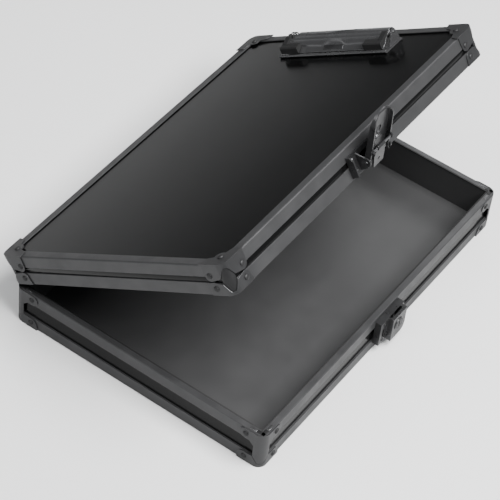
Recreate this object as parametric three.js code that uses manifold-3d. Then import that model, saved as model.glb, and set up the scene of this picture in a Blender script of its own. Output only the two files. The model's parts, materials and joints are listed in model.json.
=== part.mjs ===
// Lockable storage clipboard: a framed storage tray with a hinged, shallow lid that carries the clip.
// Millimetres, +Z up. Origin: centre of the base's footprint, on the surface that it stands on.
// +X points from the hinge to the latch, +Y points to the end with the clip.
import * as THREE from 'three';
import { mergeVertices } from 'three/addons/utils/BufferGeometryUtils.js';
import Module from 'manifold-3d';

const wasm = await Module();
wasm.setup();

// ---------------------------------------------------------------- driving dimensions
const WIDTH = 240; // both trays, along X
const LENGTH = 340; // both trays, along Y
const CORNER_RADIUS = 7;
const BASE_HEIGHT = 38; // rim of the base above the table
const LID_HEIGHT = 26;
const LID_GAP = 0.4; // between the closed lid and the base
const LID_ANGLE = 33; // how far the lid stands open, in degrees
const SHEET = 0.8; // sheet metal of the corner brackets
const SKIN = 0.05; // air behind a bracket on the base
const LID_SKIN = 0.15; // air behind a bracket on the lid
const GAP = 0.3; // air between neighbours on the turned lid
const LEG = 22; // length of a corner bracket's leg
const RIVET_RADIUS = 2.1;
const RIVET_HEIGHT = 0.6;
const PANEL = 3; // floor panel and lid panel
const SIDE_PANEL = 1.6;
const WALL_LINER = 0.8; // board that lines the base's walls
const LINER_INSET = 4.9; // from the base's outer wall to the liner
const MITRE_GAP = 0.15;
const ARC_STEPS = 6;

const HINGE = {
  x: -WIDTH / 2 - 3,
  z: BASE_HEIGHT + LID_GAP / 2,
  length: 288,
  knuckles: 15,
  outer: 2.4,
  bore: 1.5,
  pin: 1.2,
  leaf: 1.2,
  reach: 9.7, // from the pin to a leaf's far edge
};

// The latch and the lock are measured outwards from the trays' +X wall (d) and up (z).
const LATCH = {
  y0: -7,
  y1: 19,
  pivot: { d: 9.3, z: 9 },
  hookPin: { d: 12, z: 20 },
  tip: 52,
  tipRadius: 10,
  back: 6.3,
  front: 11.6,
  wall: 1.2,
  pin: 1.2,
  smallPin: 1.1,
  window: 4.6,
};
const HOOK = { y0: -3.5, y1: 11.5, length: 19.2, thickness: 1.2, hole: 1.6, holeFromPin: 13 };
const LOCK = {
  y0: -15.5,
  y1: 18,
  step0: -5,
  step1: 15,
  z0: 9,
  z1: 34,
  slotY: -10.5,
  low: 5.8,
  high: 10.6,
  wall: 1.4,
  keyY: (HOOK.y0 + HOOK.y1) / 2,
  keyRadius: 4.4,
  keyStart: 8, // the key plug's inner end
  keyStandOut: 0.8,
};
// With the lever folded down, its window lies over the key plug and the hook's hole is behind it.
const FOLDED_PIN = { d: 2 * LATCH.pivot.d - LATCH.hookPin.d, z: 2 * LATCH.pivot.z - LATCH.hookPin.z };
LOCK.keyZ = BASE_HEIGHT + LID_GAP + FOLDED_PIN.z - HOOK.holeFromPin;

const CLIP = {
  half: 58.5,
  jawHalf: 55,
  y0: 130.5,
  y1: 154.5,
  plate: 1.2,
  pivotY: 150,
  pivotUp: 9.5,
  roll: 3.8,
  rollBore: 3,
  pin: 1.1,
  jawFrontY: 133,
  jawFrontUp: 3,
  arch: 7,
  archHalf: 14,
  gripWidth: 19,
};

// ---------------------------------------------------------------- finishes
const finish = (color, roughness, metalness) => ({ color, roughness, metalness });
const RAIL = finish(0x4a4a4d, 0.42, 0.85);
const BRACKET = finish(0x55565a, 0.38, 0.9);
const GLOSS = finish(0x0b0b0c, 0.12, 0);
const LINER = finish(0x3c3c3e, 0.6, 0);
const POST_LOOK = finish(0x1c1d1f, 0.5, 0);
const HARDWARE = finish(0x5f6165, 0.32, 0.95);
const STEEL = finish(0x8a8c90, 0.3, 1);
const RUBBER = finish(0x141415, 0.75, 0);

// ---------------------------------------------------------------- geometry helpers
const basis = (x, y, z, at) =>
  new THREE.Matrix4().makeBasis(x, y, z).setPosition(new THREE.Vector3(...at));
const X = new THREE.Vector3(1, 0, 0);
const Y = new THREE.Vector3(0, 1, 0);
const Z = new THREE.Vector3(0, 0, 1);
const minus = (v) => v.clone().negate();

function outline(points) {
  return new THREE.Shape(points.map(([a, b]) => new THREE.Vector2(a, b)));
}

function extruded(shape, depth) {
  return new THREE.ExtrudeGeometry(shape, { depth, bevelEnabled: false, curveSegments: ARC_STEPS });
}

const asShape = (points) => (points instanceof THREE.Shape ? points : outline(points));

// A (y, z) outline from x0 to x1, an (x, z) outline from y0 to y1, an (x, y) outline from z0 to z1.
const alongX = (points, x0, x1) =>
  extruded(asShape(points), x1 - x0).applyMatrix4(basis(Y, Z, X, [x0, 0, 0]));
const alongY = (points, y0, y1) =>
  extruded(asShape(points), y1 - y0).applyMatrix4(basis(X, Z, minus(Y), [0, y1, 0]));
const alongZ = (points, z0, z1) =>
  extruded(asShape(points), z1 - z0).applyMatrix4(basis(X, Y, Z, [0, 0, z0]));

function box(x0, x1, y0, y1, z0, z1) {
  const geometry = new THREE.BoxGeometry(x1 - x0, y1 - y0, z1 - z0);
  return geometry.translate((x0 + x1) / 2, (y0 + y1) / 2, (z0 + z1) / 2);
}

// A round bar along X, Y or Z through the point `at`, from `from` to `to` on its own axis.
function bar(axis, at, radius, from, to, sides = 16) {
  const geometry = new THREE.CylinderGeometry(radius, radius, to - from, sides);
  geometry.translate(0, (from + to) / 2, 0);
  if (axis === 'x') geometry.rotateZ(-Math.PI / 2);
  if (axis === 'z') geometry.rotateX(Math.PI / 2);
  return geometry.translate(...at);
}

function solid(geometry) {
  const bare = geometry.clone();
  bare.deleteAttribute('normal');
  bare.deleteAttribute('uv');
  const merged = mergeVertices(bare, 1e-4);
  const mesh = new wasm.Mesh({
    numProp: 3,
    vertProperties: merged.attributes.position.array,
    triVerts: new Uint32Array(merged.index.array),
  });
  return new wasm.Manifold(mesh);
}

function surface(manifold) {
  const { vertProperties, triVerts } = manifold.getMesh();
  const geometry = new THREE.BufferGeometry();
  geometry.setAttribute('position', new THREE.BufferAttribute(vertProperties, 3));
  geometry.setIndex(new THREE.BufferAttribute(triVerts, 1));
  return geometry;
}

const joined = (first, ...more) =>
  surface(more.reduce((whole, next) => whole.add(solid(next)), solid(first)));
const cut = (first, ...more) =>
  surface(more.reduce((whole, next) => whole.subtract(solid(next)), solid(first)));
const common = (first, ...more) =>
  surface(more.reduce((whole, next) => whole.intersect(solid(next)), solid(first)));

// The same shape on another side of the part: sx and sy are 1 or -1.
function mirrored(geometry, sx, sy) {
  const copy = geometry.clone().scale(sx, sy, 1);
  if (sx * sy < 0) {
    const index = copy.index.array;
    for (let i = 0; i < index.length; i += 3) [index[i], index[i + 1]] = [index[i + 1], index[i]];
  }
  return copy;
}

function roundedRect(halfX, halfY, radius) {
  const shape = new THREE.Shape();
  shape.moveTo(halfX, -halfY + radius);
  shape.lineTo(halfX, halfY - radius);
  shape.absarc(halfX - radius, halfY - radius, radius, 0, Math.PI / 2);
  shape.lineTo(-halfX + radius, halfY);
  shape.absarc(-halfX + radius, halfY - radius, radius, Math.PI / 2, Math.PI);
  shape.lineTo(-halfX, -halfY + radius);
  shape.absarc(-halfX + radius, -halfY + radius, radius, Math.PI, 1.5 * Math.PI);
  shape.lineTo(halfX - radius, -halfY);
  shape.absarc(halfX - radius, -halfY + radius, radius, 1.5 * Math.PI, 2 * Math.PI);
  return shape;
}

// The trays' outer form, grown by `extra`, between two heights.
const trayBlock = (extra, z0, z1) =>
  alongZ(roundedRect(WIDTH / 2 + extra, LENGTH / 2 + extra, CORNER_RADIUS + extra), z0, z1);

// ---------------------------------------------------------------- assembly helpers
const clipboard = new THREE.Group();
const lidPivot = new THREE.Group();
lidPivot.position.set(HINGE.x, 0, HINGE.z);
lidPivot.rotation.y = THREE.MathUtils.degToRad(-LID_ANGLE);
clipboard.add(lidPivot);
const base = new THREE.Group();
clipboard.add(base);
const lid = new THREE.Group(); // closed-lid coordinates, with z = 0 at the lid's underside
lid.position.set(-HINGE.x, 0, BASE_HEIGHT + LID_GAP - HINGE.z);
lidPivot.add(lid);

function place(group, name, geometry, look) {
  const mesh = new THREE.Mesh(geometry, new THREE.MeshStandardMaterial(look));
  mesh.name = name;
  group.add(mesh);
}

const SIDES = ['right', 'back', 'left', 'front'];
const CORNERS = [
  ['back_right', 1, 1],
  ['back_left', -1, 1],
  ['front_left', -1, -1],
  ['front_right', 1, -1],
];

// A rail on one side of a tray. Its profile is (inwards from the wall, up), its ends are mitred.
function rail(profile, side) {
  const turn = SIDES.indexOf(side);
  const offset = turn % 2 ? LENGTH / 2 : WIDTH / 2;
  const length = turn % 2 ? WIDTH : LENGTH;
  const geometry = extruded(outline(profile), length);
  const position = geometry.attributes.position;
  for (let i = 0; i < position.count; i += 1) {
    const inset = position.getX(i) + MITRE_GAP;
    position.setZ(i, position.getZ(i) > length / 2 ? length - inset : inset);
  }
  geometry.applyMatrix4(basis(minus(X), Z, Y, [offset, -length / 2, 0]));
  return geometry.rotateZ((turn * Math.PI) / 2);
}

// A flat panel standing inside the base's rails.
function sidePanel(side, inset, z0, z1) {
  const turn = SIDES.indexOf(side);
  const offset = (turn % 2 ? LENGTH / 2 : WIDTH / 2) - inset;
  const half = turn % 2 ? WIDTH / 2 - inset - SIDE_PANEL - 0.1 : LENGTH / 2 - 2 * inset;
  return box(offset - SIDE_PANEL, offset, -half, half, z0, z1).rotateZ((turn * Math.PI) / 2);
}

// ---------------------------------------------------------------- corner brackets
// Every bracket is drawn on the +X +Y corner. A face outline is (from the corner, up) and lies on
// both walls; a flat outline is (in from one wall, in from the other) and lies above or below.
const fromCornerX = (points) => points.map(([a, b]) => [WIDTH / 2 - a, b]);
const fromCornerY = (points) => points.map(([a, b]) => [LENGTH / 2 - a, b]);

function rivets(from, up, skin) {
  const bottom = skin + SHEET / 2;
  const top = skin + SHEET + RIVET_HEIGHT;
  const onRight = [WIDTH / 2, LENGTH / 2 - from, up];
  const onBack = [WIDTH / 2 - from, LENGTH / 2, up];
  return [
    bar('x', onRight, RIVET_RADIUS, bottom, top, 12),
    bar('y', onBack, RIVET_RADIUS, bottom, top, 12),
  ];
}

const fromCorner = (points) => points.map(([a, b]) => [WIDTH / 2 - a, LENGTH / 2 - b]);

// The outline lies on the wall that each half of the corner, split at its diagonal, belongs to.
function bracketShell(face, skin, z0, z1) {
  const wrap = cut(trayBlock(skin + SHEET, z0, z1), trayBlock(skin, z0 - 1, z1 + 1));
  const far = LEG + CORNER_RADIUS;
  const near = -(skin + SHEET + 1);
  const rightHalf = alongZ(fromCorner([[near, near], [far, far], [near, far]]), z0, z1);
  const backHalf = alongZ(fromCorner([[near, near], [far, near], [far, far]]), z0, z1);
  const onRight = alongX(fromCornerY(face), WIDTH / 2 - CORNER_RADIUS, WIDTH / 2 - near);
  const onBack = alongY(fromCornerX(face), LENGTH / 2 - CORNER_RADIUS, LENGTH / 2 - near);
  return common(joined(common(onRight, rightHalf), common(onBack, backHalf)), wrap);
}

function flatLeaf(points, skin, z0, z1) {
  return common(alongZ(fromCorner(points), z0, z1), trayBlock(skin + SHEET, z0 - 1, z1 + 1));
}

// Points of a round end, about a centre, between two angles in degrees.
function arc(x, y, radius, from, to, steps = ARC_STEPS) {
  const points = [];
  for (let i = 0; i <= steps; i += 1) {
    const angle = THREE.MathUtils.degToRad(from + ((to - from) * i) / steps);
    points.push([x + radius * Math.cos(angle), y + radius * Math.sin(angle)]);
  }
  return points;
}

const OUTER = -2; // past the corner, so that an outline runs round it
const POST = 8.2; // width of the base's corner post on each wall
const RAIL_TOP = 11; // height of the base's upper rail
const RAIL_FOOT = 10.5; // height of the base's lower rail

function baseCorner() {
  const top = BASE_HEIGHT - 0.2;
  const low = BASE_HEIGHT - RAIL_TOP;
  const middle = (top + low) / 2;
  const radius = (top - low) / 2;
  const face = [
    [OUTER, top],
    ...arc(LEG - radius, middle, radius, 90, -90),
    [POST + 4, low],
    [POST, low - 4],
    [POST, SHEET + RAIL_FOOT + 0.6],
    [3.2, 4],
    [OUTER, 4],
  ];
  return joined(bracketShell(face, SKIN, 3, BASE_HEIGHT), ...rivets(LEG - 6, middle, SKIN));
}

function baseFoot() {
  const face = [
    [OUTER, 0],
    [LEG, 0],
    [LEG, 4],
    ...arc(LEG - 6.5, 5.2, 5.6, 20, 110),
    [POST, RAIL_FOOT + 0.4],
    [3.4, 3.4],
    [OUTER, 3.4],
  ];
  const flat = [
    [-2, -2],
    [LEG, -2],
    [LEG, 4],
    ...arc(10, 10, 5, 10, 80),
    [4, LEG],
    [-2, LEG],
  ];
  return joined(
    bracketShell(face, SKIN, 0, RAIL_FOOT + 2),
    flatLeaf(flat, SKIN, 0, SHEET),
    ...rivets(LEG - 6.5, 5.6, SKIN),
  );
}

function lidCap() {
  const under = LID_HEIGHT + LID_SKIN;
  const top = under + SHEET;
  const face = [
    [OUTER, top],
    [LEG, top],
    [LEG, 20],
    ...arc(LEG - 5, 16.6, 4.4, 0, -110),
    [7.5, 14.5],
    [3, 22.4],
    [OUTER, 24.6],
  ];
  const flat = [
    [-2, -2],
    [LEG + 2, -2],
    [LEG, 6],
    ...arc(9.6, 9.6, 5.4, -10, 100),
    [6, LEG],
    [-2, LEG + 2],
  ];
  const topRivet = [WIDTH / 2 - 9.6, LENGTH / 2 - 9.6, 0];
  return joined(
    bracketShell(face, LID_SKIN, 10, top),
    flatLeaf(flat, LID_SKIN, under, top),
    bar('z', topRivet, RIVET_RADIUS, under + 0.2, top + RIVET_HEIGHT, 12),
    ...rivets(LEG - 5, 17, LID_SKIN),
  );
}

function lidShoe() {
  const face = [
    [OUTER, 0.1],
    [LEG, 0.1],
    [LEG - 1, 5],
    ...arc(LEG - 6.5, 6, 5.4, 0, 110),
    [7, 10],
    [2.8, 2.6],
    [OUTER, 2.6],
  ];
  return joined(bracketShell(face, LID_SKIN, 0, 14), ...rivets(LEG - 6.5, 6, LID_SKIN));
}

// A moulded post fills each corner of the lid between the ends of the rails.
const LID_POST = 7.4;
const LID_POST_WALL = 4.1;

function lidPost() {
  const x1 = WIDTH / 2;
  const y1 = LENGTH / 2;
  const corner = box(x1 - LID_POST, x1 + 1, y1 - LID_POST, y1 + 1, 0.1, LID_HEIGHT - 0.2);
  const inside = box(0, x1 - LID_POST_WALL, 0, y1 - LID_POST_WALL, -1, LID_HEIGHT + 1);
  return cut(common(corner, trayBlock(0, 0, LID_HEIGHT)), inside);
}

// ---------------------------------------------------------------- trays
const BASE_TOP_PROFILE = [
  [0, BASE_HEIGHT - RAIL_TOP],
  [1.5, BASE_HEIGHT - RAIL_TOP],
  [1.5, BASE_HEIGHT - 1.4],
  [3.4, BASE_HEIGHT - 1.4],
  [3.4, BASE_HEIGHT - 7],
  [4.8, BASE_HEIGHT - 7],
  [4.8, BASE_HEIGHT],
  [0.6, BASE_HEIGHT],
  [0, BASE_HEIGHT - 0.6],
];

const FLOOR_UNDER = SHEET + 1;
const BASE_FOOT_PROFILE = [
  [0, SHEET],
  [8, SHEET],
  [8, FLOOR_UNDER],
  [4.2, FLOOR_UNDER],
  [4.2, FLOOR_UNDER + PANEL + 0.1],
  [4.7, FLOOR_UNDER + PANEL + 0.1],
  [4.7, 10],
  [3.4, 10],
  [3.4, 6.6],
  [1.5, 6.6],
  [1.5, SHEET + RAIL_FOOT],
  [0, SHEET + RAIL_FOOT],
];

const LID_PANEL_TOP = LID_HEIGHT - 1 - GAP;
const LID_PROFILE = [
  [0, 0],
  [6, 0],
  [6, 1.4],
  [2.8, 1.4],
  [2.8, LID_PANEL_TOP - PANEL - GAP - 1.2],
  [8, LID_PANEL_TOP - PANEL - GAP - 1.2],
  [8, LID_PANEL_TOP - PANEL - GAP],
  [4.4, LID_PANEL_TOP - PANEL - GAP],
  [4.4, LID_HEIGHT - 1],
  [8, LID_HEIGHT - 1],
  [8, LID_HEIGHT],
  [0.8, LID_HEIGHT],
  [0, LID_HEIGHT - 0.8],
  [0, 15.5],
  [1.3, 15.5],
  [1.3, 10.5],
  [0, 10.5],
];

// A liner stands on the floor panel, inside the rails. Those on the long sides run full length.
function wallLiner(side) {
  const turn = SIDES.indexOf(side);
  const offset = (turn % 2 ? LENGTH / 2 : WIDTH / 2) - LINER_INSET;
  const across = (turn % 2 ? WIDTH / 2 : LENGTH / 2) - LINER_INSET;
  const half = turn % 2 ? across - WALL_LINER - 0.1 : across;
  const z0 = FLOOR_UNDER + PANEL + 0.05;
  return box(offset - WALL_LINER, offset, -half, half, z0, BASE_HEIGHT - 0.1).rotateZ((turn * Math.PI) / 2);
}

function buildBase() {
  const form = trayBlock(0, 0, BASE_HEIGHT + 1);
  for (const side of SIDES) {
    place(base, `base_top_rail_${side}`, common(rail(BASE_TOP_PROFILE, side), form), RAIL);
    place(base, `base_bottom_rail_${side}`, common(rail(BASE_FOOT_PROFILE, side), form), RAIL);
    place(base, `base_side_panel_${side}`, sidePanel(side, 1.6, 6.7, BASE_HEIGHT - 1.5), GLOSS);
    place(base, `base_wall_liner_${side}`, wallLiner(side), LINER);
  }
  const halfX = WIDTH / 2 - 4.3;
  const halfY = LENGTH / 2 - 4.3;
  const floor = box(-halfX, halfX, -halfY, halfY, FLOOR_UNDER, FLOOR_UNDER + PANEL);
  place(base, 'base_floor_panel', floor, LINER);
  const corner = baseCorner();
  const foot = baseFoot();
  for (const [name, sx, sy] of CORNERS) {
    place(base, `base_corner_${name}`, mirrored(corner, sx, sy), BRACKET);
    place(base, `base_foot_bracket_${name}`, mirrored(foot, sx, sy), BRACKET);
  }
}

function buildLid() {
  const hole = LID_POST + GAP;
  const cornerHoles = CORNERS.map(([, sx, sy]) => {
    const size = box(-hole, hole, -hole, hole, -1, LID_HEIGHT + 1);
    return size.translate((sx * WIDTH) / 2, (sy * LENGTH) / 2, 0);
  });
  for (const side of SIDES) {
    place(lid, `lid_rail_${side}`, cut(rail(LID_PROFILE, side), ...cornerHoles), RAIL);
  }
  const halfX = WIDTH / 2 - 4.4 - GAP;
  const halfY = LENGTH / 2 - 4.4 - GAP;
  const panel = box(-halfX, halfX, -halfY, halfY, LID_PANEL_TOP - PANEL, LID_PANEL_TOP);
  place(lid, 'lid_panel', panel, GLOSS);
  const post = lidPost();
  const cap = lidCap();
  const shoe = lidShoe();
  for (const [name, sx, sy] of CORNERS) {
    place(lid, `lid_corner_post_${name}`, mirrored(post, sx, sy), POST_LOOK);
    place(lid, `lid_corner_cap_${name}`, mirrored(cap, sx, sy), BRACKET);
    place(lid, `lid_corner_shoe_${name}`, mirrored(shoe, sx, sy), BRACKET);
  }
}

// ---------------------------------------------------------------- hinge
// A leaf and its knuckles. `first` is the leaf's first knuckle, `up` is 1 for the lid, -1 for the base.
function hingeLeaf(first, up, air) {
  const pitch = HINGE.length / HINGE.knuckles;
  const wall = -WIDTH / 2 - air;
  const start = -HINGE.length / 2;
  const centre = up > 0 ? HINGE.z - BASE_HEIGHT - LID_GAP : HINGE.z;
  const level = (distance) => centre + up * distance;
  const span = (a, b) => [Math.min(level(a), level(b)), Math.max(level(a), level(b))];
  const pieces = [
    box(wall - HINGE.leaf, wall, start, -start, ...span(HINGE.outer + 0.4, HINGE.reach)),
  ];
  const bores = [];
  for (let i = first; i < HINGE.knuckles; i += 2) {
    const y0 = start + i * pitch + 0.2;
    const y1 = y0 + pitch - 0.4;
    pieces.push(box(wall - HINGE.leaf, wall, y0, y1, ...span(0.4, HINGE.outer + 0.6)));
    pieces.push(bar('y', [HINGE.x, 0, centre], HINGE.outer, y0, y1, 14));
    bores.push(bar('y', [HINGE.x, 0, centre], HINGE.bore, y0 - 0.1, y1 + 0.1, 14));
  }
  return cut(joined(...pieces), ...bores);
}

function buildHinge() {
  place(base, 'hinge_leaf_base', hingeLeaf(0, -1, 0), HARDWARE);
  place(lid, 'hinge_leaf_lid', hingeLeaf(1, 1, 0.2), HARDWARE);
  const half = HINGE.length / 2 + 0.6;
  place(base, 'hinge_pin', bar('y', [HINGE.x, 0, HINGE.z], HINGE.pin, -half, half), STEEL);
}

// ---------------------------------------------------------------- lock on the base
const WALL_X = WIDTH / 2;

function lockHousing() {
  const round = 6; // the raised half's lower outer corner
  const raised = [
    [LOCK.step0, LOCK.z0],
    ...arc(LOCK.step1 - round, LOCK.z0 + round, round, -90, 0),
    [LOCK.step1, LOCK.z1],
    [LOCK.step0, LOCK.z1],
  ];
  const w = LOCK.wall;
  const body = joined(
    box(WALL_X, WALL_X + LOCK.low, LOCK.y0, LOCK.y1, LOCK.z0, LOCK.z1),
    alongX(raised, WALL_X, WALL_X + LOCK.high),
  );
  const room = (depth, y0, y1) =>
    box(WALL_X - 1, WALL_X + depth - w, y0 + w, y1 - w, LOCK.z0 + w, LOCK.z1 - w);
  const lowRoom = room(LOCK.low, LOCK.y0, LOCK.y1);
  const highRoom = room(LOCK.high, LOCK.step0, LOCK.step1);
  const keyAt = [WALL_X, LOCK.keyY, LOCK.keyZ];
  const keyHole = bar('x', keyAt, LOCK.keyRadius + 0.15, LOCK.high - w - 1, LOCK.high + 1, 24);
  const hookWay = HOOK.thickness / 2 + 0.6;
  const hookX = WALL_X + FOLDED_PIN.d;
  const hookSlot = box(
    hookX - hookWay, hookX + hookWay, HOOK.y0 - 0.5, HOOK.y1 + 0.5, LOCK.z1 - w - 1, LOCK.z1 + 1,
  );
  const faceSlot = alongX(
    [...arc(LOCK.slotY, 24, 1.2, 0, 180), ...arc(LOCK.slotY, 16, 1.2, 180, 360)],
    WALL_X + LOCK.low - w - 1,
    WALL_X + LOCK.low + 1,
  );
  return cut(body, lowRoom, highRoom, keyHole, hookSlot, faceSlot);
}

function lockCylinder() {
  const at = [WALL_X, LOCK.keyY, LOCK.keyZ];
  const plug = bar('x', at, LOCK.keyRadius, LOCK.keyStart, LOCK.high + LOCK.keyStandOut, 24);
  const keyway = box(
    WALL_X + LOCK.high - 1.4, WALL_X + LOCK.high + 2,
    LOCK.keyY - 0.6, LOCK.keyY + 0.6, LOCK.keyZ - 2.8, LOCK.keyZ + 2.8,
  );
  return cut(plug, keyway);
}

function lockBolt() {
  const at = [WALL_X, LOCK.keyY, LOCK.keyZ];
  const tip = FOLDED_PIN.d - HOOK.thickness / 2 - 0.8;
  return joined(bar('x', at, 3, 1, 2.2), bar('x', at, 1.2, 2, tip));
}

function buildLock() {
  place(base, 'lock_housing', lockHousing(), HARDWARE);
  place(base, 'lock_cylinder', lockCylinder(), STEEL);
  place(base, 'lock_bolt', lockBolt(), STEEL);
}

// ---------------------------------------------------------------- latch on the lid
const outwards = (points) => points.map(([d, z]) => [WALL_X + d, z]);

function latchBracket() {
  const { y0, y1, pivot } = LATCH;
  const shieldY = y0 - 12;
  const ear = outwards([
    [GAP, 2.5],
    [pivot.d, 4],
    ...arc(pivot.d, pivot.z, 4, -90, 90),
    [GAP, 18],
  ]);
  const shield = outwards([
    [GAP, 1.5],
    [7, 2.5],
    [7, 16],
    [4.5, 19],
    [GAP, 19.5],
  ]);
  const whole = joined(
    box(WALL_X + GAP, WALL_X + GAP + 1.2, shieldY, y1 + 3, 1.5, 19),
    alongY(shield, shieldY, shieldY + 1.4),
    alongY(ear, y0 - 1.6, y0 - 0.4),
    alongY(ear, y1 + 0.4, y1 + 1.6),
  );
  const hole = bar('y', [WALL_X + pivot.d, 0, pivot.z], LATCH.pin + 0.3, y0 - 3, y1 + 3);
  // The hook swings through this window while the lever turns.
  const window = box(WALL_X, WALL_X + 2, HOOK.y0 - 1, HOOK.y1 + 1, pivot.z - 5.5, pivot.z + 5.5);
  return cut(whole, hole, window);
}

function latchLever() {
  const { y0, y1, pivot, hookPin, tip, tipRadius, back, front, wall } = LATCH;
  const cheek = outwards([
    [back, pivot.z - 3],
    ...arc(pivot.d, pivot.z, 3.2, 230, 330, 4),
    [front, pivot.z + 3],
    [front, hookPin.z - 3],
    ...arc(hookPin.d, hookPin.z, 2, -60, 60, 5),
    [front, hookPin.z + 3],
    [front - 0.6, tip - 8],
    [front - 2.5, tip - 3],
    [back + 1, tip],
    [back, tip],
  ]);
  const block = alongY(cheek, y0, y1);
  const face = alongX(
    [
      [y0, 0],
      [y1, 0],
      ...arc(y1 - tipRadius, tip - tipRadius, tipRadius, 0, 90),
      ...arc(y0 + tipRadius, tip - tipRadius, tipRadius, 90, 180),
    ],
    WALL_X,
    WALL_X + 20,
  );
  const inner = alongX(
    [
      [y0 + wall, -1],
      [y1 - wall, -1],
      ...arc(y1 - tipRadius, tip - tipRadius, tipRadius - wall, 0, 90),
      ...arc(y0 + tipRadius, tip - tipRadius, tipRadius - wall, 90, 180),
    ],
    WALL_X + back + wall,
    WALL_X + 20,
  );
  const middle = (HOOK.y0 + HOOK.y1) / 2;
  const windowZ = hookPin.z + HOOK.holeFromPin;
  return cut(
    common(block, face),
    inner,
    bar('x', [WALL_X, middle, windowZ], LATCH.window, back - 1, back + wall + 1, 20),
    bar('y', [WALL_X + pivot.d, 0, pivot.z], LATCH.pin + 0.3, y0 - 1, y1 + 1),
    bar('y', [WALL_X + hookPin.d, 0, hookPin.z], LATCH.smallPin + GAP / 2, y0 - 1, y1 + 1),
  );
}

function latchHook() {
  const { hookPin } = LATCH;
  const half = HOOK.thickness / 2;
  const low = hookPin.z - HOOK.length;
  const plate = alongX(
    [
      [HOOK.y0 + 2, low],
      [HOOK.y1, low],
      [HOOK.y1, low + 10],
      [HOOK.y1 - 3, hookPin.z],
      [HOOK.y0 + 3, hookPin.z],
      [HOOK.y0, low + 12],
    ],
    WALL_X + hookPin.d - half,
    WALL_X + hookPin.d + half,
  );
  const eye = bar('y', [WALL_X + hookPin.d, 0, hookPin.z], 2, HOOK.y0 + 3, HOOK.y1 - 3, 14);
  const middle = (HOOK.y0 + HOOK.y1) / 2;
  const holeAt = [WALL_X, middle, hookPin.z - HOOK.holeFromPin];
  return cut(
    joined(plate, eye),
    bar('y', [WALL_X + hookPin.d, 0, hookPin.z], LATCH.smallPin + GAP / 2, HOOK.y0, HOOK.y1, 14),
    bar('x', holeAt, HOOK.hole, hookPin.d - 2, hookPin.d + 2),
  );
}

function buildLatch() {
  const { y0, y1, pivot, hookPin, pin, smallPin } = LATCH;
  const pivotPin = bar('y', [WALL_X + pivot.d, 0, pivot.z], pin, y0 - 2, y1 + 2);
  const pinOfHook = bar('y', [WALL_X + hookPin.d, 0, hookPin.z], smallPin, y0 + 0.1, y1 - 0.1, 14);
  place(lid, 'latch_bracket', latchBracket(), HARDWARE);
  place(lid, 'latch_pivot_pin', pivotPin, STEEL);

  // The lever leans out from the lid until it and its hook stand upright.
  const turned = new THREE.Group();
  turned.position.set(WALL_X + pivot.d, 0, pivot.z);
  turned.rotation.y = THREE.MathUtils.degToRad(LID_ANGLE);
  lid.add(turned);
  const lever = new THREE.Group();
  lever.position.set(-WALL_X - pivot.d, 0, -pivot.z);
  turned.add(lever);
  place(lever, 'latch_lever', latchLever(), HARDWARE);
  place(lever, 'latch_hook_pin', pinOfHook, STEEL);
  place(lever, 'latch_hook', latchHook(), HARDWARE);
}

// ---------------------------------------------------------------- clip on the lid
const CLIP_FLOOR = LID_PANEL_TOP + GAP;
const JAW_SHEET = 1.2;
const PIVOT_Z = CLIP_FLOOR + CLIP.pivotUp;

function clipBasePlate() {
  const { half, y0, y1, plate, pivotY } = CLIP;
  const ear = [
    [pivotY - 12, CLIP_FLOOR],
    [y1, CLIP_FLOOR],
    [y1, CLIP_FLOOR + 4],
    ...arc(pivotY, PIVOT_Z, 3, -20, 150),
  ];
  const whole = joined(
    box(-half, half, y0 + 1.2, y1, CLIP_FLOOR, CLIP_FLOOR + plate),
    bar('x', [0, y0 + 1.3, CLIP_FLOOR + 1.3], 1.3, -half, half, 12),
    alongX(ear, CLIP.jawHalf + 0.4, CLIP.jawHalf + 1.6),
    alongX(ear, -CLIP.jawHalf - 1.6, -CLIP.jawHalf - 0.4),
  );
  return cut(whole, bar('x', [0, pivotY, PIVOT_Z], CLIP.pin + 0.2, -half, half));
}

// The pressed ribs of the jaw plate run along X, so that its side view is a wave. `below` and
// `above` are the distances of the outline's two long sides from the wave's middle line.
function jawProfile(below, above) {
  const top = [];
  const bottom = [];
  const steps = 18;
  const front = new THREE.Vector2(CLIP.jawFrontY, CLIP_FLOOR + CLIP.jawFrontUp);
  const back = new THREE.Vector2(CLIP.pivotY - 1.6, PIVOT_Z + 2.2);
  for (let i = 0; i <= steps; i += 1) {
    const at = front.clone().lerp(back, i / steps);
    const wave = 0.5 * Math.sin((i / steps) * 3 * 2 * Math.PI);
    top.push([at.x, at.y + wave + above]);
    bottom.push([at.x, at.y + wave - below]);
  }
  return [...bottom, ...top.reverse()];
}

function clipJaw() {
  const { jawHalf, pivotY, roll, rollBore, arch, archHalf, jawFrontY } = CLIP;
  const whole = joined(
    alongX(jawProfile(JAW_SHEET / 2, JAW_SHEET / 2), -jawHalf, jawHalf),
    bar('x', [0, pivotY, PIVOT_Z], roll, -jawHalf, jawHalf, 20),
  );
  const y = jawFrontY - 1;
  const opening = new THREE.Shape();
  opening.moveTo(-archHalf, y);
  opening.bezierCurveTo(-archHalf * 0.4, y, -archHalf * 0.5, y + arch + 1, 0, y + arch + 1);
  opening.bezierCurveTo(archHalf * 0.5, y + arch + 1, archHalf * 0.4, y, archHalf, y);
  return cut(
    whole,
    bar('x', [0, pivotY, PIVOT_Z], rollBore, -jawHalf - 1, jawHalf + 1, 20),
    alongZ(opening, CLIP_FLOOR, CLIP_FLOOR + 20),
  );
}

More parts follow.
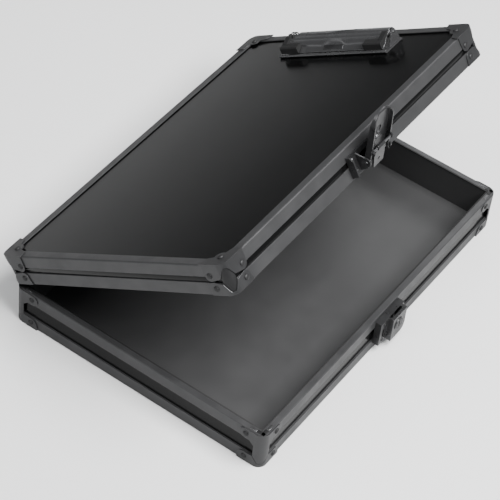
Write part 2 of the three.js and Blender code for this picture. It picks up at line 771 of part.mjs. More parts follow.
// A soft cap on the jaw's front corner, with a cheek that runs up towards the roll.
function clipGrip(side) {
  const { jawHalf, gripWidth, jawFrontY, pivotY } = CLIP;
  const outer = side * jawHalf;
  const inner = side * (jawHalf - gripWidth);
  const [x0, x1] = [Math.min(outer, inner), Math.max(outer, inner)];
  const z = CLIP_FLOOR;
  const block = [
    [jawFrontY - 1.6, z + 3.6],
    [jawFrontY + 6, z + 7],
    [jawFrontY + 5, z + 10],
    [jawFrontY - 0.6, z + 9.4],
    [jawFrontY - 1.6, z + 8.4],
  ];
  const cheek = [
    [jawFrontY + 2, z + 5],
    [pivotY - 4.4, z + 11],
    [pivotY - 5.6, z + 13.2],
    [jawFrontY + 3, z + 10],
  ];
  const cheekX = side > 0 ? [x1 - 5, x1] : [x0, x0 + 5];
  const jawAndBelow = alongX(jawProfile(6, JAW_SHEET / 2 + GAP), x0 - 2, x1 + 2);
  return cut(joined(alongX(block, x0, x1), alongX(cheek, ...cheekX)), jawAndBelow);
}

function clipSpring() {
  const turns = 7;
  const half = 13;
  const radius = 1.85;
  const points = [];
  const steps = turns * 10;
  for (let i = 0; i <= steps; i += 1) {
    const angle = (i / 10) * 2 * Math.PI;
    const x = -half + (2 * half * i) / steps;
    const y = CLIP.pivotY + radius * Math.cos(angle);
    points.push(new THREE.Vector3(x, y, PIVOT_Z + radius * Math.sin(angle)));
  }
  const wire = new THREE.Shape();
  wire.absarc(0, 0, 0.42, 0, 2 * Math.PI);
  const extrudePath = new THREE.CatmullRomCurve3(points);
  return new THREE.ExtrudeGeometry(wire, { steps, curveSegments: 3, extrudePath, bevelEnabled: false });
}

function buildClip() {
  const half = CLIP.jawHalf + 2;
  const pivotPin = bar('x', [0, CLIP.pivotY, PIVOT_Z], CLIP.pin, -half, half, 14);
  place(lid, 'clip_base_plate', clipBasePlate(), HARDWARE);
  place(lid, 'clip_jaw', clipJaw(), HARDWARE);
  place(lid, 'clip_pivot_pin', pivotPin, STEEL);
  place(lid, 'clip_spring', clipSpring(), STEEL);
  place(lid, 'clip_grip_left', clipGrip(-1), RUBBER);
  place(lid, 'clip_grip_right', clipGrip(1), RUBBER);
}

buildBase();
buildLid();
buildHinge();
buildLock();
buildLatch();
buildClip();

export default clipboard;
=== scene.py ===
"""Looks of a lockable storage clipboard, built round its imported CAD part. Metres, +Z up."""
import json
import math

import bmesh
import bpy
from mathutils import Matrix, Vector


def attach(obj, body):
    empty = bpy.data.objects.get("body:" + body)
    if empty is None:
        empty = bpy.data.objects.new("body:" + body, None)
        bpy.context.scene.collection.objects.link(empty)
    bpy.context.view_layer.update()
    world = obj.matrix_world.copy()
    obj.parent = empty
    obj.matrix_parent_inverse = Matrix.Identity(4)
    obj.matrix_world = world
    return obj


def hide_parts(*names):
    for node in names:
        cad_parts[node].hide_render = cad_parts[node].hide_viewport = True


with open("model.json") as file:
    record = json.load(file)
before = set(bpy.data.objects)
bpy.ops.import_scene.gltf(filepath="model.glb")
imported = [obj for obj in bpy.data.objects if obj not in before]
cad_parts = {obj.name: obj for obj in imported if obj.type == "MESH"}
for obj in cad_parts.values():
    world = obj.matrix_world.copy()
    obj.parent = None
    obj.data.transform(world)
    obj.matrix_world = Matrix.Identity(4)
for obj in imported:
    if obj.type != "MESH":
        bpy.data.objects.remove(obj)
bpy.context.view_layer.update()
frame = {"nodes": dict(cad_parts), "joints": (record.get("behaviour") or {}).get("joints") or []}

MM = 0.001

# ------------------------------------------------------------------ driving dimensions, in mm
# Heights on the base are above the table; heights on the lid are above its underside when it is shut.
WIDTH = 240
LENGTH = 340
WALL_X = WIDTH / 2
WALL_Y = LENGTH / 2
BASE_HEIGHT = 38
LID_HEIGHT = 26
LID_GAP = 0.4
RAIL_TOP = 11  # height of the base's upper rail
RIM = 4.8  # width of the same rail, seen from above

# Corner brackets, whose rivets are (distance from the corner, height), one in each wall.
SHEET = 0.8
BASE_SKIN = 0.05  # how far a bracket lies off the rail under it
LID_SKIN = 0.15
LEG = 22  # reach of a bracket's wall from the corner
BASE_CORNER_RIVET = (LEG - 6, BASE_HEIGHT - 0.1 - RAIL_TOP / 2)
BASE_FOOT_RIVET = (LEG - 6.5, 5.6)
LID_CAP_RIVET = (LEG - 5, 17)
LID_SHOE_RIVET = (LEG - 6.5, 6)
LID_TOP_RIVET_INSET = 9.6  # of the third rivet of a cap, from both outer faces
RIVET_HEAD = (  # radius and height
    (0, -0.3),
    (2.3, -0.3),
    (2.42, 0.0),
    (2.4, 0.3),
    (2.2, 0.66),
    (1.75, 0.92),
    (1.0, 1.1),
    (0, 1.16),
)

# Piano hinge; the last two values are (x, z) of the rivets in its leaves.
HINGE_X = -123
HINGE_Z = BASE_HEIGHT + LID_GAP / 2
HINGE_LENGTH = 288
HINGE_RIVETS = 7
HINGE_RIVET_SIZE = 0.72
HINGE_BASE_LEAF = (-WALL_X - 1.2, HINGE_Z - 6.6)
HINGE_LID_LEAF = (-WALL_X - 1.4, 6.4)

# The groove round the lid and the strip in it.
CHANNEL = (10.7, 15.3)  # the groove's lower and upper edge
CHANNEL_DEPTH = 1.3
STRIP_DEPTH = 0.75  # of the strip's face, behind the rail's
STRIP_END = 8.2  # from the corner

# What lies on the base's rim; depths and heights are measured from the rail's top.
SEAL_WIDTH = 1.3
SEAL_DEPTH = 0.7
SEAL_HEIGHT = 0.16
SEAL_PLAY = 0.05
CORNER_KEY_SPAN = (1.4, 8.2)  # along each side, from the corner
CORNER_KEY_EDGE = RIM - 0.2
KEEPER_SPAN = (8.6, 14.4)
KEEPER_EDGES = (1.7, 3.5)
RIM_PIECE_DEPTH = 0.2
RIM_PIECE_HEIGHT = 0.28

# Latch and lock, on the right side. The key plug, the draw plate and the lever's rivet share one y.
LATCH_LINE = 4
LEVER_PIVOT = (WALL_X + 9.3, 9.0)
LEVER_RIVET = (WALL_X + 7.5, LATCH_LINE, 26.2)
LEVER_RIVET_HEAD = ((0, -0.2), (2.1, -0.2), (2.1, 0.35), (1.7, 0.75), (0, 0.9))
LEVER_RIVET_BAR = ((0.6, -1.5, -0.24), (1.15, 1.5, 0.24))  # two of them make its cross
BRACKET_RIVETS_AT = (WALL_X + 1.5, -13.4)
BRACKET_RIVETS_UP = (6.0, 14.5)
BRACKET_RIVET_SIZE = 0.8
KEY_PLUG = (WALL_X + 10.6, LATCH_LINE, 23.4)  # the middle of its face
BEZEL = ((4.62, -0.3), (4.62, 0.5), (4.9, 0.75), (5.5, 0.75), (5.9, 0.4), (5.95, -0.3), (4.62, -0.3))
LOCK_RIVETS_AT = (WALL_X + 5.8, -10.5)
LOCK_RIVETS_UP = (12.4, 30.6)
LOCK_RIVET_SIZE = 0.62

# Clip. The jaw's sheet is raised behind its crease and ribbed behind that.
CLIP_FLOOR = 25.0
CLIP_PIVOT = (150, CLIP_FLOOR + 9.5)  # (y, z), as are the sheet's front and back
JAW_FRONT = (132.6, CLIP_FLOOR + 2.7)
JAW_BACK = (148.2, CLIP_PIVOT[1] + 2.9)
JAW_HALF = 55
JAW_SHEET = 0.9
JAW_GRID = (150, 84)  # faces along x and along y
CREASE_Y = 138.0
CREASE_ARCH = 4.2
CREASE_ARCH_HALF = 9.5
CREASE_WAVE = 0.5
CREASE_WAVE_SCALE = 15
CREASE_STEP = 1.5
CREASE_SHARPNESS = 0.16
JAW_RIBS = (142.4, 145.6)  # their y
RIB_HALF = 47
RIB_HEIGHT = 1.15
RIB_WIDTH = 0.6
HEM = 0.7  # height and width of the swelling along the front edge
ROLL = (3.8, 3.0)  # outer and inner radius of the rolled rear edge
ROLL_LEFT = -43.5
PLATE_Y = 137.0  # of the blank plate's middle
PLATE = ((-10.5, -2.3, 0.1), (10.5, 1.9, 0.85))  # two corners of it, on the sloping jaw
LOOP_TURNS = 2.25
LOOP_START = 200  # degrees
LOOP_STEPS = 54
LOOP_RADIUS = 3.4
LOOP_WIRE = 0.6
LOOPS_AT = (-46.0, CLIP_PIVOT[0] - 1.5, CLIP_PIVOT[1] + 1.2)
LOOPS_WIDE = 6.5
LOOP_LEG = (
    (-52.8, CLIP_PIVOT[0] - 5.5, CLIP_PIVOT[1] - 1.2),
    (-52.8, CLIP_PIVOT[0] - 8.5, CLIP_PIVOT[1] - 2.4),
)

# ------------------------------------------------------------------ studio, in metres and degrees
CAMERA_AZIMUTH = 30.17  # to the right of the front, as the lights' is
CAMERA_ELEVATION = 46.86
CAMERA_ROLL = 7.26
CAMERA_DISTANCE = 1.7496
CAMERA_AIM = Vector((-0.0138, 0.0034, 0.0093))
CAMERA_LENS = 152.07
FLOOR_RADIUS = 4.0
FLOOR_AS_LIGHT = 0.5
WORLD_LIGHT = 0.3
DARK_SIDE = (-0.78, 0.57, -0.25)  # the direction in which the world is black
DARK_FADE = (0.45, 0.9)  # cosines of the angle to it, from full light to none
LIGHT_AIM = Vector((0, 0, 0.05))
LIGHTS = (  # name, azimuth, elevation, distance, size, power in watts
    ("key", 88, 62, 1.6, (1.0, 1.0), 66),
    ("fill", -25, 60, 2.0, (1.4, 1.0), 12),
    ("rim", 205, 38, 2.0, (1.2, 0.5), 7),
)

# ------------------------------------------------------------------ frames and repeats
LID_HINGE = next(j for j in frame["joints"] if j["name"] == "lid_hinge")
LID_ANGLE = -math.radians(LID_HINGE["range_deg"][0])

BASE = Matrix.Scale(MM, 4)
# Millimetres on the shut lid, with z = 0 on its underside, turned about the hinge to where it is at rest.
LID = (
    Matrix.Scale(MM, 4)
    @ Matrix.Translation((HINGE_X, 0, HINGE_Z))
    @ Matrix.Rotation(-LID_ANGLE, 4, "Y")
    @ Matrix.Translation((-HINGE_X, 0, BASE_HEIGHT + LID_GAP - HINGE_Z))
)
# The lever stands upright at rest, so it is turned back from the lid about its own pin.
LEVER = (
    LID
    @ Matrix.Translation((LEVER_PIVOT[0], 0, LEVER_PIVOT[1]))
    @ Matrix.Rotation(LID_ANGLE, 4, "Y")
    @ Matrix.Translation((-LEVER_PIVOT[0], 0, -LEVER_PIVOT[1]))
)
CORNERS = (
    ("back_right", 1, 1),
    ("back_left", -1, 1),
    ("front_left", -1, -1),
    ("front_right", 1, -1),
)


def sides():
    """Each side's name, its distance and half length from the middle, and its turn from the right side."""
    for index, side in enumerate(("right", "back", "left", "front")):
        across, along = (WALL_X, WALL_Y) if index % 2 == 0 else (WALL_Y, WALL_X)
        yield side, across, along, Matrix.Rotation(index * math.pi / 2, 4, "Z")


# ------------------------------------------------------------------ materials
class Shader:
    """A principled material and short ways to add its nodes."""

    def __init__(self, name, color, roughness, metallic=0.0, specular=0.5):
        self.material = bpy.data.materials.new(name)
        self.material.use_nodes = True
        self.material.diffuse_color = color
        self.tree = self.material.node_tree
        self.bsdf = self.tree.nodes["Principled BSDF"]
        self.bsdf.inputs["Base Color"].default_value = color
        self.bsdf.inputs["Roughness"].default_value = roughness
        self.bsdf.inputs["Metallic"].default_value = metallic
        self.bsdf.inputs["Specular IOR Level"].default_value = specular
        self.coordinates = self.node("ShaderNodeTexCoord").outputs["Object"]

    def node(self, kind, **inputs):
        made = self.tree.nodes.new(kind)
        for key, value in inputs.items():
            self.feed(made.inputs[key.replace("_", " ")], value)
        return made

    def feed(self, socket, value):
        if isinstance(value, bpy.types.NodeSocket):
            self.tree.links.new(value, socket)
        else:
            socket.default_value = value

    def stretched(self, along, factor, tilt=0.0):
        """Object coordinates squeezed along x or y, so that a noise on them becomes a grain."""
        scale = [1.0, 1.0, 1.0]
        scale["xyz".index(along)] = factor
        mapping = self.node("ShaderNodeMapping", Vector=self.coordinates)
        mapping.vector_type = "TEXTURE"
        mapping.inputs["Rotation"].default_value = (0, -tilt, 0)
        mapping.inputs["Scale"].default_value = scale
        return mapping.outputs["Vector"]

    def noise(self, scale, detail=3.0, roughness=0.55, vector=None):
        made = self.node(
            "ShaderNodeTexNoise",
            Vector=vector or self.coordinates,
            Scale=scale,
            Detail=detail,
            Roughness=roughness,
        )
        return made.outputs["Fac"]

    def ranged(self, value, low, high, out_low, out_high):
        made = self.node(
            "ShaderNodeMapRange",
            Value=value,
            From_Min=low,
            From_Max=high,
            To_Min=out_low,
            To_Max=out_high,
        )
        return made.outputs["Result"]

    def spread(self, noise, out_low, out_high):
        """Stretches a noise to a range of its own; most of its values lie between 0.3 and 0.7."""
        return self.ranged(noise, 0.3, 0.7, out_low, out_high)

    def mixed(self, factor, a, b):
        made = self.tree.nodes.new("ShaderNodeMix")
        made.data_type = "RGBA"
        self.feed(made.inputs[0], factor)
        self.feed(made.inputs[6], a)
        self.feed(made.inputs[7], b)
        return made.outputs[2]

    def maths(self, operation, a, b):
        made = self.tree.nodes.new("ShaderNodeMath")
        made.operation = operation
        made.use_clamp = True
        self.feed(made.inputs[0], a)
        self.feed(made.inputs[1], b)
        return made.outputs[0]

    def edges(self, radius, strength):
        """Up to `strength` on edges, 0 on flat faces: where a rounded normal leaves the true one. The lighter
        colour laid there is wear, and on metal also a painted highlight.
        """
        rounded = self.tree.nodes.new("ShaderNodeBevel")
        rounded.samples = 4
        rounded.inputs["Radius"].default_value = radius
        true = self.tree.nodes.new("ShaderNodeNewGeometry")
        dot = self.tree.nodes.new("ShaderNodeVectorMath")
        dot.operation = "DOT_PRODUCT"
        self.tree.links.new(rounded.outputs["Normal"], dot.inputs[0])
        self.tree.links.new(true.outputs["Normal"], dot.inputs[1])
        edge_wear_and_highlight = self.ranged(dot.outputs["Value"], 0.99, 0.75, 0.0, strength)
        broken = self.ranged(self.noise(260, 4.0), 0.38, 0.6, 0.25, 1.0)
        return self.maths("MULTIPLY", edge_wear_and_highlight, broken)

    def bump(self, height, strength, distance):
        made = self.node("ShaderNodeBump", Height=height, Strength=strength, Distance=distance)
        self.set("Normal", made.outputs["Normal"])

    def set(self, socket, value):
        self.feed(self.bsdf.inputs[socket], value)


def grey(value, tint=1.0):
    """An opaque grey, a little blue where the tint is over 1."""
    return (value, value, value * tint, 1)


def metal(name, shade, roughness, metallic, along="y", tilt=0.0, streak=0.12, edge_wear_and_highlight=0.5, edge_wear_and_highlight_shade=0.2):
    """Satin coated metal: a drawn grain, smudges in its gloss, and lighter edges that are wear and a painted
    highlight.
    """
    look = Shader(name, grey(shade, 1.03), roughness, metallic)
    grain = look.noise(900, 5.0, 0.6, look.stretched(along, 40, tilt))
    blotch = look.noise(38, 4.0)
    tone = look.maths("ADD", look.spread(grain, 0.0, streak), look.spread(blotch, 0.0, 0.5))
    body = look.mixed(tone, grey(shade * 0.88, 1.03), grey(shade * 1.18, 1.02))
    # Lighter colour along the edges: wear, and a painted highlight standing in for light catching them.
    edge = look.edges(0.0006, edge_wear_and_highlight)
    look.set("Base Color", look.mixed(edge, body, grey(edge_wear_and_highlight_shade, 1.02)))
    dull = look.ranged(look.noise(70, 3.0), 0.35, 0.65, roughness - 0.05, roughness + 0.07)
    look.set("Roughness", look.maths("SUBTRACT", dull, look.maths("MULTIPLY", edge, 0.12)))
    look.bump(grain, streak, 0.00004)
    return look.material


def gloss_board(name, shade, roughness, specular, ior=1.5):
    """Black laminate: nearly a mirror, with a faint orange peel, dust and wiping marks."""
    look = Shader(name, grey(shade, 1.05), roughness, 0.0, specular)
    look.bsdf.inputs["IOR"].default_value = ior
    dust = look.ranged(look.noise(2600, 2.0), 0.66, 0.8, 0.0, 0.35)
    cloud = look.noise(9, 4.0)
    body = look.mixed(cloud, grey(shade * 0.8, 1.03), grey(shade * 1.3, 1.03))
    look.set("Base Color", look.mixed(dust, body, grey(shade + 0.02)))
    wiped = look.noise(26, 5.0, 0.6, look.stretched("y", 5))
    look.set("Roughness", look.spread(wiped, roughness - 0.01, roughness + 0.015))
    look.bump(look.noise(420, 2.0), 0.03, 0.00005)
    return look.material


def satin_board(name, shade, roughness):
    """Dark grey laminate with a fine leather-like pebble."""
    look = Shader(name, grey(shade, 1.02), roughness, 0.0, 0.45)
    pebble = look.node("ShaderNodeTexVoronoi", Vector=look.coordinates, Scale=1100.0)
    pebble.feature = "SMOOTH_F1"
    cloud = look.noise(14, 4.0)
    body = look.mixed(cloud, grey(shade * 0.86, 1.02), grey(shade * 1.14, 1.02))
    fleck = look.ranged(look.noise(1800, 2.0), 0.62, 0.8, 0.0, 0.3)
    look.set("Base Color", look.mixed(fleck, body, grey(shade * 1.6)))
    look.set("Roughness", look.spread(look.noise(60, 3.0), roughness - 0.05, roughness + 0.06))
    look.bump(pebble.outputs["Distance"], 0.18, 0.00008)
    return look.material


def moulded(name, shade, roughness, grain=1500, depth=0.2, edge_wear_and_highlight_shade=0.06):
    """Black moulded plastic or rubber with a fine spark-eroded grain."""
    look = Shader(name, grey(shade, 1.04), roughness, 0.0, 0.4)
    fine = look.noise(grain, 3.0)
    body = look.mixed(look.noise(90, 4.0), grey(shade * 0.8, 1.04), grey(shade * 1.35, 1.03))
    edge = look.edges(0.0007, 0.6)
    look.set("Base Color", look.mixed(edge, body, grey(edge_wear_and_highlight_shade)))
    look.set("Roughness", look.spread(look.noise(120, 3.0), roughness - 0.06, roughness + 0.08))
    look.bump(fine, depth, 0.00006)
    return look.material


def make_materials():
    """The numbers are shade and roughness, then how metallic or how specular the surface is."""
    made = {
        "band": gloss_board("side_laminate", 0.003, 0.14, 0.5, ior=1.25),
        "lid_board": gloss_board("lid_laminate", 0.0015, 0.2, 0.42),
        "strip": gloss_board("channel_laminate", 0.003, 0.15, 0.25),
        "liner": satin_board("floor_laminate", 0.04, 0.48),
        "post": moulded("corner_post_plastic", 0.012, 0.4),
        "grip": moulded("grip_rubber", 0.008, 0.6, grain=1100, depth=0.3, edge_wear_and_highlight_shade=0.025),
        "steel": metal("pin_steel", 0.25, 0.3, 1.0, along="x", streak=0.2, edge_wear_and_highlight=0.3, edge_wear_and_highlight_shade=0.5),
        "hardware": metal("latch_metal", 0.075, 0.3, 0.85, streak=0.08, edge_wear_and_highlight=0.6, edge_wear_and_highlight_shade=0.3),
        "rivet": metal("rivet_metal", 0.035, 0.5, 0.6, streak=0.05, edge_wear_and_highlight=0.35, edge_wear_and_highlight_shade=0.12),
        "clip": metal("clip_metal", 0.13, 0.24, 0.75, along="x", streak=0.02, edge_wear_and_highlight_shade=0.45),
        "lock_plug": metal("lock_plug_metal", 0.03, 0.3, 0.8, streak=0.05),
    }
    for part, tilt in (("", 0.0), ("lid_", LID_ANGLE)):
        made[f"{part}bracket"] = metal(f"{part}bracket_metal", 0.07, 0.36, 0.75, tilt=tilt, streak=0.06)
        for along in "xy":
            made[f"{part}rail_{along}"] = metal(f"{part}rail_metal_{along}", 0.075, 0.42, 0.65, along, tilt)
    return made


LOOKS = make_materials()


# ------------------------------------------------------------------ CAD nodes: material and fine surface
LOOK_BY_NAME = (
    ("base_side_panel", "band"),
    ("base_floor_panel", "liner"),
    ("base_wall_liner", "liner"),
    ("base_corner", "bracket"),
    ("base_foot", "bracket"),
    ("lid_panel", "lid_board"),
    ("lid_corner_post", "post"),
    ("lid_corner", "lid_bracket"),
    ("clip_grip", "grip"),
    ("clip_jaw", "clip"),
    ("clip_base_plate", "clip"),
    ("lock_cylinder", "lock_plug"),
)
BEVEL_BY_NAME = (  # in mm
    ("rail", 0.3),
    ("liner", 0.2),
    ("panel", 0.35),
    ("corner", 0.22),
    ("bracket", 0.22),
    ("grip", 0.9),
    ("spring", 0.0),
    ("", 0.25),
)


def look_of(node):
    """A rail's grain runs along it. Pins, bolt and spring are steel, and what is left is latch metal."""
    if "_rail_" in node:
        part = "lid_" if node.startswith("lid") else ""
        along = "y" if node.endswith(("_left", "_right")) else "x"
        return f"{part}rail_{along}"
    for start, look in LOOK_BY_NAME:
        if node.startswith(start):
            return look
    return "steel" if node.endswith(("_pin", "_bolt", "_spring")) else "hardware"


def smooth_surface(thing, width):
    """Joins the CAD's flat triangles into whole faces, rounds their edges and shades them evenly."""
    mesh = thing.data
    for name in ("custom_normal", "sharp_edge", "sharp_face"):
        if name in mesh.attributes:
            mesh.attributes.remove(mesh.attributes[name])
    mesh.shade_smooth()
    weld = thing.modifiers.new("weld", "WELD")
    weld.merge_threshold = 2e-6
    flatten = thing.modifiers.new("flatten", "DECIMATE")
    flatten.decimate_type = "DISSOLVE"
    flatten.angle_limit = math.radians(0.6)
    if width > 0:
        bevel = thing.modifiers.new("bevel", "BEVEL")
        bevel.width = width * MM
        bevel.segments = 2
        bevel.limit_method = "ANGLE"
        bevel.angle_limit = math.radians(32)
        bevel.miter_outer = "MITER_ARC"
        bevel.use_clamp_overlap = True
        bevel.harden_normals = False
    weighted = thing.modifiers.new("weighted_normals", "WEIGHTED_NORMAL")
    weighted.keep_sharp = True
    weighted.weight = 60


def dress_cad_nodes():
    for name, thing in frame["nodes"].items():
        thing.data.materials.clear()
        thing.data.materials.append(LOOKS[look_of(name)])
        smooth_surface(thing, next(width for part, width in BEVEL_BY_NAME if part in name))


# ------------------------------------------------------------------ mesh helpers for added pieces
def mesh_from(bm, name):
    mesh = bpy.data.meshes.new(name)
    bmesh.ops.recalc_face_normals(bm, faces=bm.faces)
    bm.to_mesh(mesh)
    bm.free()
    return mesh


def add_piece(name, bm, body, look, matrix):
    """A finished mesh in millimetres of `matrix`'s frame becomes a piece that rides on `body`."""
    mesh = mesh_from(bm, name)
    mesh.transform(matrix)
    mesh.materials.append(LOOKS[look])
    mesh.shade_smooth()
    thing = bpy.data.objects.new(name, mesh)
    bpy.context.collection.objects.link(thing)
    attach(thing, body)
    return thing


def circle(radius, count, height=0.0):
    """Points round the z axis, or a single one on it."""
    angles = [2 * math.pi * i / count for i in range(count if radius else 1)]
    return [Vector((radius * math.cos(angle), radius * math.sin(angle), height)) for angle in angles]


def spun(bm, profile, at, axis, count=28):
    """A turned solid from a profile of (radius, height), which ends on the axis or where it began."""
    turn = Vector((0, 0, 1)).rotation_difference(Vector(axis)).to_matrix()
    rings = []
    for radius, height in profile:
        rings.append([bm.verts.new(Vector(at) + turn @ point) for point in circle(radius, count, height)])
    for low, high in zip(rings, rings[1:]):
        for i in range(count):
            after = i + 1
            corners = [low[i % len(low)], low[after % len(low)], high[after % len(high)], high[i % len(high)]]
            unique = list(dict.fromkeys(corners))
            if len(unique) > 2:
                bm.faces.new(unique)


def slab(bm, low, high, round_edge, matrix):
    """A box with rounded edges between two corners, carried by `matrix`."""
    made = bmesh.ops.create_cube(bm, size=1.0)["verts"]
    size = [b - a for a, b in zip(low, high)]
    middle = [(a + b) / 2 for a, b in zip(low, high)]
    place = Matrix.Translation(middle) @ Matrix.Diagonal((*size, 1))
    bmesh.ops.transform(bm, matrix=matrix @ place, verts=made)
    edges = list({edge for vert in made for edge in vert.link_edges})
    bmesh.ops.bevel(bm, geom=edges, offset=round_edge, segments=2, profile=0.5, affect="EDGES")


def wire(bm, points, radius, count=10):
    """A round wire through the points, closed at both ends."""
    rings = []
    for i, point in enumerate(points):
        ahead = points[min(i + 1, len(points) - 1)] - points[max(i - 1, 0)]
        turn = ahead.to_track_quat("Z", "Y").to_matrix()
        rings.append([bm.verts.new(point + turn @ spoke) for spoke in circle(radius, count)])
    for low, high in zip(rings, rings[1:]):
        # One ring may be turned against the other, so the second is counted from the nearest vertex.
        shift = min(range(count), key=lambda k: (high[k].co - low[0].co).length)
        for k in range(count):
            after = k + 1
            far = (high[(after + shift) % count], high[(k + shift) % count])
            bm.faces.new((low[k], low[after % count], *far))
    bm.faces.new(rings[0])
    bm.faces.new(rings[-1])


# ------------------------------------------------------------------ rivets
def rivet_head(bm, at, axis, size=1.0):
    spun(bm, [(radius * size, height * size) for radius, height in RIVET_HEAD], at, axis)


def bracket_rivets(bm, sx, sy, rivet, skin):
    """The two rivets of a corner bracket, one on each wall."""
    leg, up = rivet
    out = skin + SHEET
    rivet_head(bm, (sx * (WALL_X + out), sy * (WALL_Y - leg), up), (sx, 0, 0))
    rivet_head(bm, (sx * (WALL_X - leg), sy * (WALL_Y + out), up), (0, sy, 0))


def add_corner_rivets():
    for name, sx, sy in CORNERS:
        bm = bmesh.new()
        bracket_rivets(bm, sx, sy, BASE_CORNER_RIVET, BASE_SKIN)
        bracket_rivets(bm, sx, sy, BASE_FOOT_RIVET, BASE_SKIN)
        add_piece(f"base_rivets_{name}", bm, "base", "rivet", BASE)
        bm = bmesh.new()
        bracket_rivets(bm, sx, sy, LID_CAP_RIVET, LID_SKIN)
        bracket_rivets(bm, sx, sy, LID_SHOE_RIVET, LID_SKIN)
        x = sx * (WALL_X - LID_TOP_RIVET_INSET)
        y = sy * (WALL_Y - LID_TOP_RIVET_INSET)
        rivet_head(bm, (x, y, LID_HEIGHT + LID_SKIN + SHEET), (0, 0, 1))
        add_piece(f"lid_rivets_{name}", bm, "lid", "rivet", LID)


def add_hinge_rivets():
    """A row of rivets in each leaf of the piano hinge."""
    for body, (x, z), matrix in (("base", HINGE_BASE_LEAF, BASE), ("lid", HINGE_LID_LEAF, LID)):
        bm = bmesh.new()
        for i in range(HINGE_RIVETS):
            y = HINGE_LENGTH * ((i + 0.5) / HINGE_RIVETS - 0.5)
            rivet_head(bm, (x, y, z), (-1, 0, 0), HINGE_RIVET_SIZE)
        add_piece(f"hinge_rivets_{body}", bm, body, "rivet", matrix)


# ------------------------------------------------------------------ strips, seals and keys round the two rims
def add_channel_strips():
    """A narrow gloss strip fills the groove on each side of the lid."""
    for side, across, along, turn in sides():
        bm = bmesh.new()
        low = (across - CHANNEL_DEPTH, -along + STRIP_END, CHANNEL[0])
        high = (across - STRIP_DEPTH, along - STRIP_END, CHANNEL[1])
        slab(bm, low, high, 0.15, turn)
        add_piece(f"lid_channel_strip_{side}", bm, "lid", "strip", LID)


def add_rim_seals():
    """A black seal lies on the inner edge of the base's rim; the short ones end at the long ones."""
    for side, across, along, turn in sides():
        inner = RIM + SEAL_WIDTH
        is_long = side in ("right", "left")
        end = along - (RIM if is_long else inner) - SEAL_PLAY
        low = (across - inner, -end, BASE_HEIGHT - SEAL_DEPTH)
        high = (across - RIM + SEAL_PLAY, end, BASE_HEIGHT + SEAL_HEIGHT)
        bm = bmesh.new()
        slab(bm, low, high, 0.12, turn)
        add_piece(f"base_rim_seal_{side}", bm, "base", "grip", BASE)


def add_corner_keys():
    """On the base's rim: a black key in each mitre, and a bright keeper bar on either side of it."""
    bottom = BASE_HEIGHT - RIM_PIECE_DEPTH
    top = BASE_HEIGHT + RIM_PIECE_HEIGHT
    key_start, key_end = CORNER_KEY_SPAN
    bar_start, bar_end = KEEPER_SPAN
    bar_outer, bar_inner = KEEPER_EDGES
    for name, sx, sy in CORNERS:
        mirror = Matrix.Translation((sx * WALL_X, sy * WALL_Y, 0)) @ Matrix.Diagonal((-sx, -sy, 1, 1))
        key = bmesh.new()
        slab(key, (key_start, key_start, bottom), (key_end, CORNER_KEY_EDGE, top), 0.2, mirror)
        slab(key, (key_start, key_start, bottom), (CORNER_KEY_EDGE, key_end, top), 0.2, mirror)
        add_piece(f"base_corner_key_{name}", key, "base", "post", BASE)
        bars = bmesh.new()
        slab(bars, (bar_start, bar_outer, bottom), (bar_end, bar_inner, top), 0.25, mirror)
        slab(bars, (bar_outer, bar_start, bottom), (bar_inner, bar_end, top), 0.25, mirror)
        add_piece(f"base_keeper_bars_{name}", bars, "base", "clip", BASE)


# ------------------------------------------------------------------ latch and lock
def add_latch_details():
    """Rivets of the bracket, and a cross-headed rivet in the lever between its window and the hook."""
    bm = bmesh.new()
    for up in BRACKET_RIVETS_UP:
        rivet_head(bm, (*BRACKET_RIVETS_AT, up), (1, 0, 0), BRACKET_RIVET_SIZE)
    add_piece("latch_bracket_rivets", bm, "lid", "steel", LID)
    bm = bmesh.new()
    spun(bm, LEVER_RIVET_HEAD, LEVER_RIVET, (1, 0, 0))
    for angle in (45, 135):
        turn = Matrix.Translation(LEVER_RIVET) @ Matrix.Rotation(math.radians(angle), 4, "X")
        slab(bm, *LEVER_RIVET_BAR, 0.08, turn)
    add_piece("latch_lever_rivet", bm, "latch_lever", "steel", LEVER)


def add_lock_details():
    """A raised bezel round the key plug, and two rivets in the housing's lower step."""
    bm = bmesh.new()
    spun(bm, BEZEL, KEY_PLUG, (1, 0, 0), 40)
    bmesh.ops.remove_doubles(bm, verts=bm.verts, dist=1e-4)
    add_piece("lock_bezel", bm, "base", "hardware", BASE)
    bm = bmesh.new()
    for up in LOCK_RIVETS_UP:
        rivet_head(bm, (*LOCK_RIVETS_AT, up), (1, 0, 0), LOCK_RIVET_SIZE)
    add_piece("lock_rivets", bm, "base", "rivet", BASE)


# ------------------------------------------------------------------ clip
def rise(distance, width):
    """A soft step from 0 to 1 where the distance is 0."""
    return 1 / (1 + math.exp(-distance / width))


def swell(distance, width):
    """A soft hump of height 1 where the distance is 0."""
    return math.exp(-((distance / width) ** 2))


def crease_at(x):
    """Where the raised part of the jaw begins: a slightly wavy line with an arch in its middle."""
    arch = CREASE_ARCH * math.exp(-((x / CREASE_ARCH_HALF) ** 4))
    return CREASE_Y + arch - CREASE_WAVE * math.cos(x / CREASE_WAVE_SCALE)


def jaw_height(x, y):
    along = (y - JAW_FRONT[0]) / (JAW_BACK[0] - JAW_FRONT[0])
    height = JAW_FRONT[1] + along * (JAW_BACK[1] - JAW_FRONT[1])
    height += CREASE_STEP * (rise(y - crease_at(x), CREASE_SHARPNESS) - along)
    inside = rise(RIB_HALF - abs(x), 0.5)
    for rib in JAW_RIBS:
        height += RIB_HEIGHT * inside * swell(y - rib, RIB_WIDTH)
    return height + HEM * swell(y - JAW_FRONT[0], HEM)


